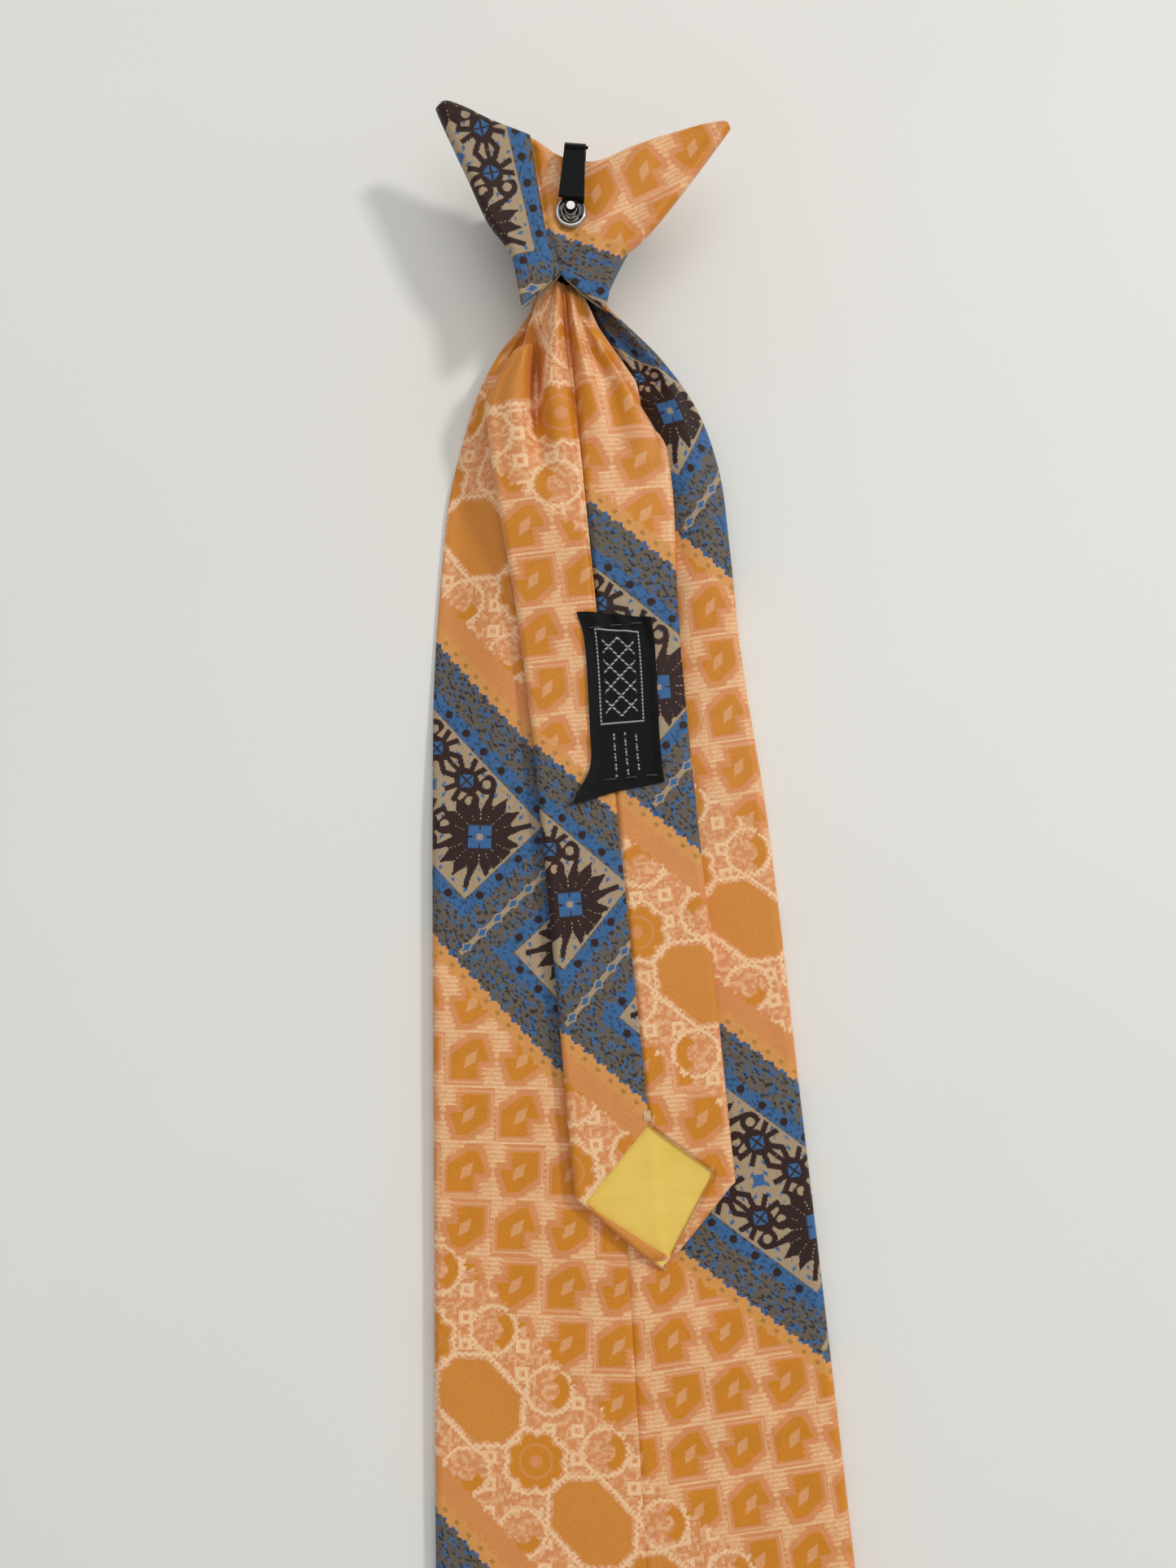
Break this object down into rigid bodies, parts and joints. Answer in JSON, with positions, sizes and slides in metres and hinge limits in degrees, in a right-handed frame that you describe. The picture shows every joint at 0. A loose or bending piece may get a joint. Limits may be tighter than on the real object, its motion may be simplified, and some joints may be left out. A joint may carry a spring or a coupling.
{
  "type": "clip-on necktie",
  "caption": "Ready-tied clip-on necktie with a winged knot, sprung clip, wide pointed front blade and narrow tail, laid on its face.",
  "frame": {"origin": "centre of the tie's box on the surface that its face side lies on", "axes": "+X across the tie, +Y along it from the point towards the knot, +Z out of its back"},
  "size_m": [0.101, 0.5099, 0.0245],
  "materials": {
    "face_cloth": "jacquard weave with a satin sheen",
    "interlining": "brushed wool blend",
    "padding": "felted",
    "lining": "plain weave",
    "label_cloth": "woven damask",
    "thread": "twisted thread",
    "label_thread": "twisted thread",
    "form_plastic": "moulded",
    "black_enamel": "gloss enamel on spring steel",
    "bright_plate": "polished plate",
    "steel": "plain"
  },
  "bodies": {
    "knot": {"knot_form": "form_plastic", "knot_padding": "padding", "knot_wrap": "face_cloth", "clip_base": "black_enamel", "clip_dish": "bright_plate", "dish_rivet": "bright_plate", "rivet_washer": "steel"},
    "clip_lever": {"clip_arm": "black_enamel", "clip_ball": "bright_plate"},
    "front_blade": {"front_shell": "face_cloth", "front_interlining": "interlining", "front_tipping": "lining", "front_slip_stitch": "thread", "front_bar_tack": "thread"},
    "tail_root": {"tail_neck": "face_cloth"},
    "tail": {"tail_shell": "face_cloth", "tail_interlining": "interlining", "tail_tipping": "lining", "tail_slip_stitch": "thread", "tail_bar_tack": "thread", "label": "label_cloth", "label_stitches": "label_thread"}
  },
  "joints": [
    {"name": "clip_open", "type": "hinge", "parent": "knot", "child": "clip_lever", "pos_m": [0.00313, 0.2412, 0.02145], "axis": [-0.9912, 0.1323, 0], "range_deg": [0, 22], "stiffness_Nm_per_rad": 0.06},
    {"name": "blade_fold", "type": "hinge", "parent": "knot", "child": "front_blade", "pos_m": [0, 0.207, 0.006], "axis": [-1, 0, 0], "range_deg": [0, 30]},
    {"name": "tail_swing", "type": "hinge", "parent": "front_blade", "child": "tail_root", "pos_m": [-0.001, 0.207, 0.0101], "axis": [0, 0, 1], "range_deg": [-6, 6]},
    {"name": "tail_lift", "type": "hinge", "parent": "tail_root", "child": "tail", "pos_m": [-0.0008, 0.202, 0.0101], "axis": [-0.9992, -0.041, 0], "range_deg": [0, 25]}
  ]
}
